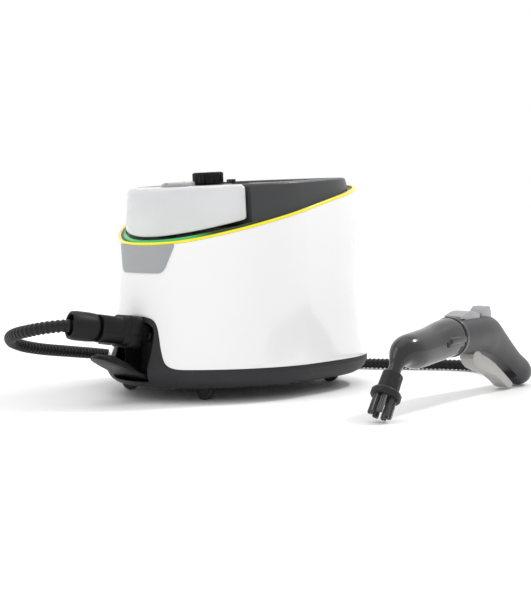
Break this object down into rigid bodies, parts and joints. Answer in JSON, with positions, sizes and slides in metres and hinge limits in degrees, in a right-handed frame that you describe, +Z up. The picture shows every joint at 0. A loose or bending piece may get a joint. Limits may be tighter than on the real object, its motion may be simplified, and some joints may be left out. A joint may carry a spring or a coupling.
{
  "type": "steam cleaner",
  "caption": "Rolling household steam cleaner with a removable smoky water tank, folding handle, corrugated steam hose and a steam gun with a bent nozzle and round brush.",
  "frame": {"origin": "on the floor, under the centre of the set without its hose and plug (machine and gun together)", "axes": "+X across the machine towards the gun, +Y from the machine's nose (tank end) to its tail, +Z up"},
  "size_m": [0.6519, 0.6314, 0.2752],
  "materials": {
    "badge_silver": "brushed",
    "base_black": "fine grain",
    "board_green": "board lacquer",
    "boiler_alu": "cast",
    "bracket_clear": "clear plastic",
    "brass": "satin",
    "bristle_grey": "fibre",
    "button_grey": "satin",
    "cap_grey": "satin",
    "castor_black": "satin",
    "deck_dark": "satin",
    "element_steel": "satin",
    "gun_grey": "satin",
    "hose_black": "corrugated",
    "housing_grey": "satin",
    "knob_black": "satin",
    "led_green": "glossy, lit",
    "nozzle_black": "glossy",
    "part_grey": "satin",
    "pin_steel": "satin",
    "plug_black": "fine grain",
    "pump_white": "satin",
    "rim_yellow": "glossy",
    "seal_black": "matte",
    "shell_white": "glossy",
    "tank_smoke": "smoky translucent plastic",
    "trigger_grey": "satin",
    "tube_clear": "silicone",
    "wheel_rubber": "matte",
    "wrap_fabric": "woven"
  },
  "bodies": {
    "machine": {"base_tray": "base_black", "castor_sockets": "part_grey", "outer_shell": "shell_white", "rim_trim": "rim_yellow", "led_ring": "led_green", "top_deck": "deck_dark", "rear_housing": "housing_grey", "hinge_pins": "pin_steel", "badge_plate": "badge_silver", "tank_coupling": "part_grey", "knob_plate": "knob_black", "boiler_lower": "boiler_alu", "boiler_upper": "boiler_alu", "heating_element": "element_steel", "insulation": "wrap_fabric", "thermostats": "part_grey", "safety_valve": "brass", "water_pump": "pump_white", "solenoid_valve": "part_grey", "water_tubes": "tube_clear", "steam_pipe": "brass", "control_board": "board_green", "mains_gland": "seal_black", "base_screws": "pin_steel", "socket_housing": "base_black", "steam_socket": "brass", "hose_tube_a": "hose_black", "hose_coil": "hose_black", "hose_tube_b": "hose_black", "plug_body": "plug_black", "plug_collar": "plug_black"},
    "handle": {"carry_handle": "castor_black"},
    "tank": {"water_tank": "tank_smoke", "tank_valve": "seal_black", "cap_bracket": "bracket_clear"},
    "cap": {"filler_cap": "cap_grey"},
    "knob": {"control_knob": "knob_black"},
    "switch": {"power_switch": "knob_black"},
    "cover": {"socket_cover": "plug_black"},
    "release": {"plug_release": "part_grey"},
    "gun": {"gun_shell_left": "gun_grey", "gun_shell_right": "gun_grey", "gun_collar": "nozzle_black", "trigger_pin": "pin_steel", "gun_valve": "brass", "hose_boot": "seal_black"},
    "trigger": {"gun_trigger": "trigger_grey"},
    "unlock": {"unlock_button": "button_grey"},
    "selector": {"flow_selector": "button_grey"},
    "nozzle": {"bent_nozzle": "nozzle_black"},
    "brush": {"brush_body": "castor_black", "brush_bristles": "bristle_grey"},
    "fork_fl": {"castor_fork_fl": "castor_black"},
    "wheel_fl": {"castor_wheel_fl": "wheel_rubber"},
    "fork_fr": {"castor_fork_fr": "castor_black"},
    "wheel_fr": {"castor_wheel_fr": "wheel_rubber"},
    "fork_rl": {"castor_fork_rl": "castor_black"},
    "wheel_rl": {"castor_wheel_rl": "wheel_rubber"},
    "fork_rr": {"castor_fork_rr": "castor_black"},
    "wheel_rr": {"castor_wheel_rr": "wheel_rubber"}
  },
  "joints": [
    {"name": "castor_swivel_fl", "type": "hinge", "parent": "machine", "child": "fork_fl", "pos_m": [-0.158, -0.1374, 0.024], "axis": [0, 0, 1], "continuous": true},
    {"name": "castor_roll_fl", "type": "hinge", "parent": "fork_fl", "child": "wheel_fl", "pos_m": [-0.16552, -0.14014, 0.01], "axis": [0.342, -0.9397, 0], "continuous": true},
    {"name": "castor_swivel_fr", "type": "hinge", "parent": "machine", "child": "fork_fr", "pos_m": [-0.026, -0.1374, 0.024], "axis": [0, 0, 1], "continuous": true},
    {"name": "castor_roll_fr", "type": "hinge", "parent": "fork_fr", "child": "wheel_fr", "pos_m": [-0.03352, -0.14014, 0.01], "axis": [0.342, -0.9397, 0], "continuous": true},
    {"name": "castor_swivel_rl", "type": "hinge", "parent": "machine", "child": "fork_rl", "pos_m": [-0.168, 0.0886, 0.024], "axis": [0, 0, 1], "continuous": true},
    {"name": "castor_roll_rl", "type": "hinge", "parent": "fork_rl", "child": "wheel_rl", "pos_m": [-0.17552, 0.08586, 0.01], "axis": [0.342, -0.9397, 0], "continuous": true},
    {"name": "castor_swivel_rr", "type": "hinge", "parent": "machine", "child": "fork_rr", "pos_m": [-0.016, 0.0886, 0.024], "axis": [0, 0, 1], "continuous": true},
    {"name": "castor_roll_rr", "type": "hinge", "parent": "fork_rr", "child": "wheel_rr", "pos_m": [-0.02352, 0.08586, 0.01], "axis": [0.342, -0.9397, 0], "continuous": true},
    {"name": "handle_lift", "type": "hinge", "parent": "machine", "child": "handle", "pos_m": [-0.092, -0.0314, 0.246], "axis": [1, 0, 0], "range_deg": [0, 90]},
    {"name": "tank_lift", "type": "slide", "parent": "machine", "child": "tank", "axis": [0, 0, 1], "range_m": [0, 0.12]},
    {"name": "cap_open", "type": "hinge", "parent": "tank", "child": "cap", "pos_m": [-0.092, -0.11146, 0.25855], "axis": [-1, 0, 0], "range_deg": [0, 100]},
    {"name": "knob_turn", "type": "hinge", "parent": "machine", "child": "knob", "pos_m": [-0.092, -0.0759, 0.25834], "axis": [0, -0.0728, 0.9973], "range_deg": [0, 270]},
    {"name": "switch_rock", "type": "hinge", "parent": "machine", "child": "switch", "pos_m": [-0.029, -0.0759, 0.25394], "axis": [1, 0, 0], "range_deg": [0, 8]},
    {"name": "cover_swing", "type": "hinge", "parent": "machine", "child": "cover", "pos_m": [-0.092, -0.1974, 0.027], "axis": [-1, 0, 0], "range_deg": [-18, 8]},
    {"name": "release_press", "type": "slide", "parent": "machine", "child": "release", "axis": [0, 0.1564, 0.9877], "range_m": [0, 0.0013], "stiffness_N_per_m": 400, "springref_m": -0.002},
    {"name": "gun_lift", "type": "slide", "parent": "machine", "child": "gun", "axis": [0, 0, 1], "range_m": [0, 0.1]},
    {"name": "trigger_pull", "type": "hinge", "parent": "gun", "child": "trigger", "pos_m": [0.19511, 0.07848, 0.061], "axis": [0.9948, 0.1023, 0], "range_deg": [0, 5], "stiffness_Nm_per_rad": 0.4, "springref_deg": -2.86},
    {"name": "unlock_press", "type": "slide", "parent": "gun", "child": "unlock", "axis": [0, 0, -1], "range_m": [0, 0.002], "stiffness_N_per_m": 300, "springref_m": -0.004},
    {"name": "selector_slide", "type": "slide", "parent": "gun", "child": "selector", "axis": [-0.1023, 0.9948, 0], "range_m": [-0.003, 0.003]},
    {"name": "nozzle_pull", "type": "slide", "parent": "gun", "child": "nozzle", "axis": [0.1023, -0.9948, 0], "range_m": [0, 0.03]},
    {"name": "brush_pull", "type": "slide", "parent": "nozzle", "child": "brush", "axis": [0.0615, -0.5987, -0.7986], "range_m": [0, 0.02]}
  ]
}
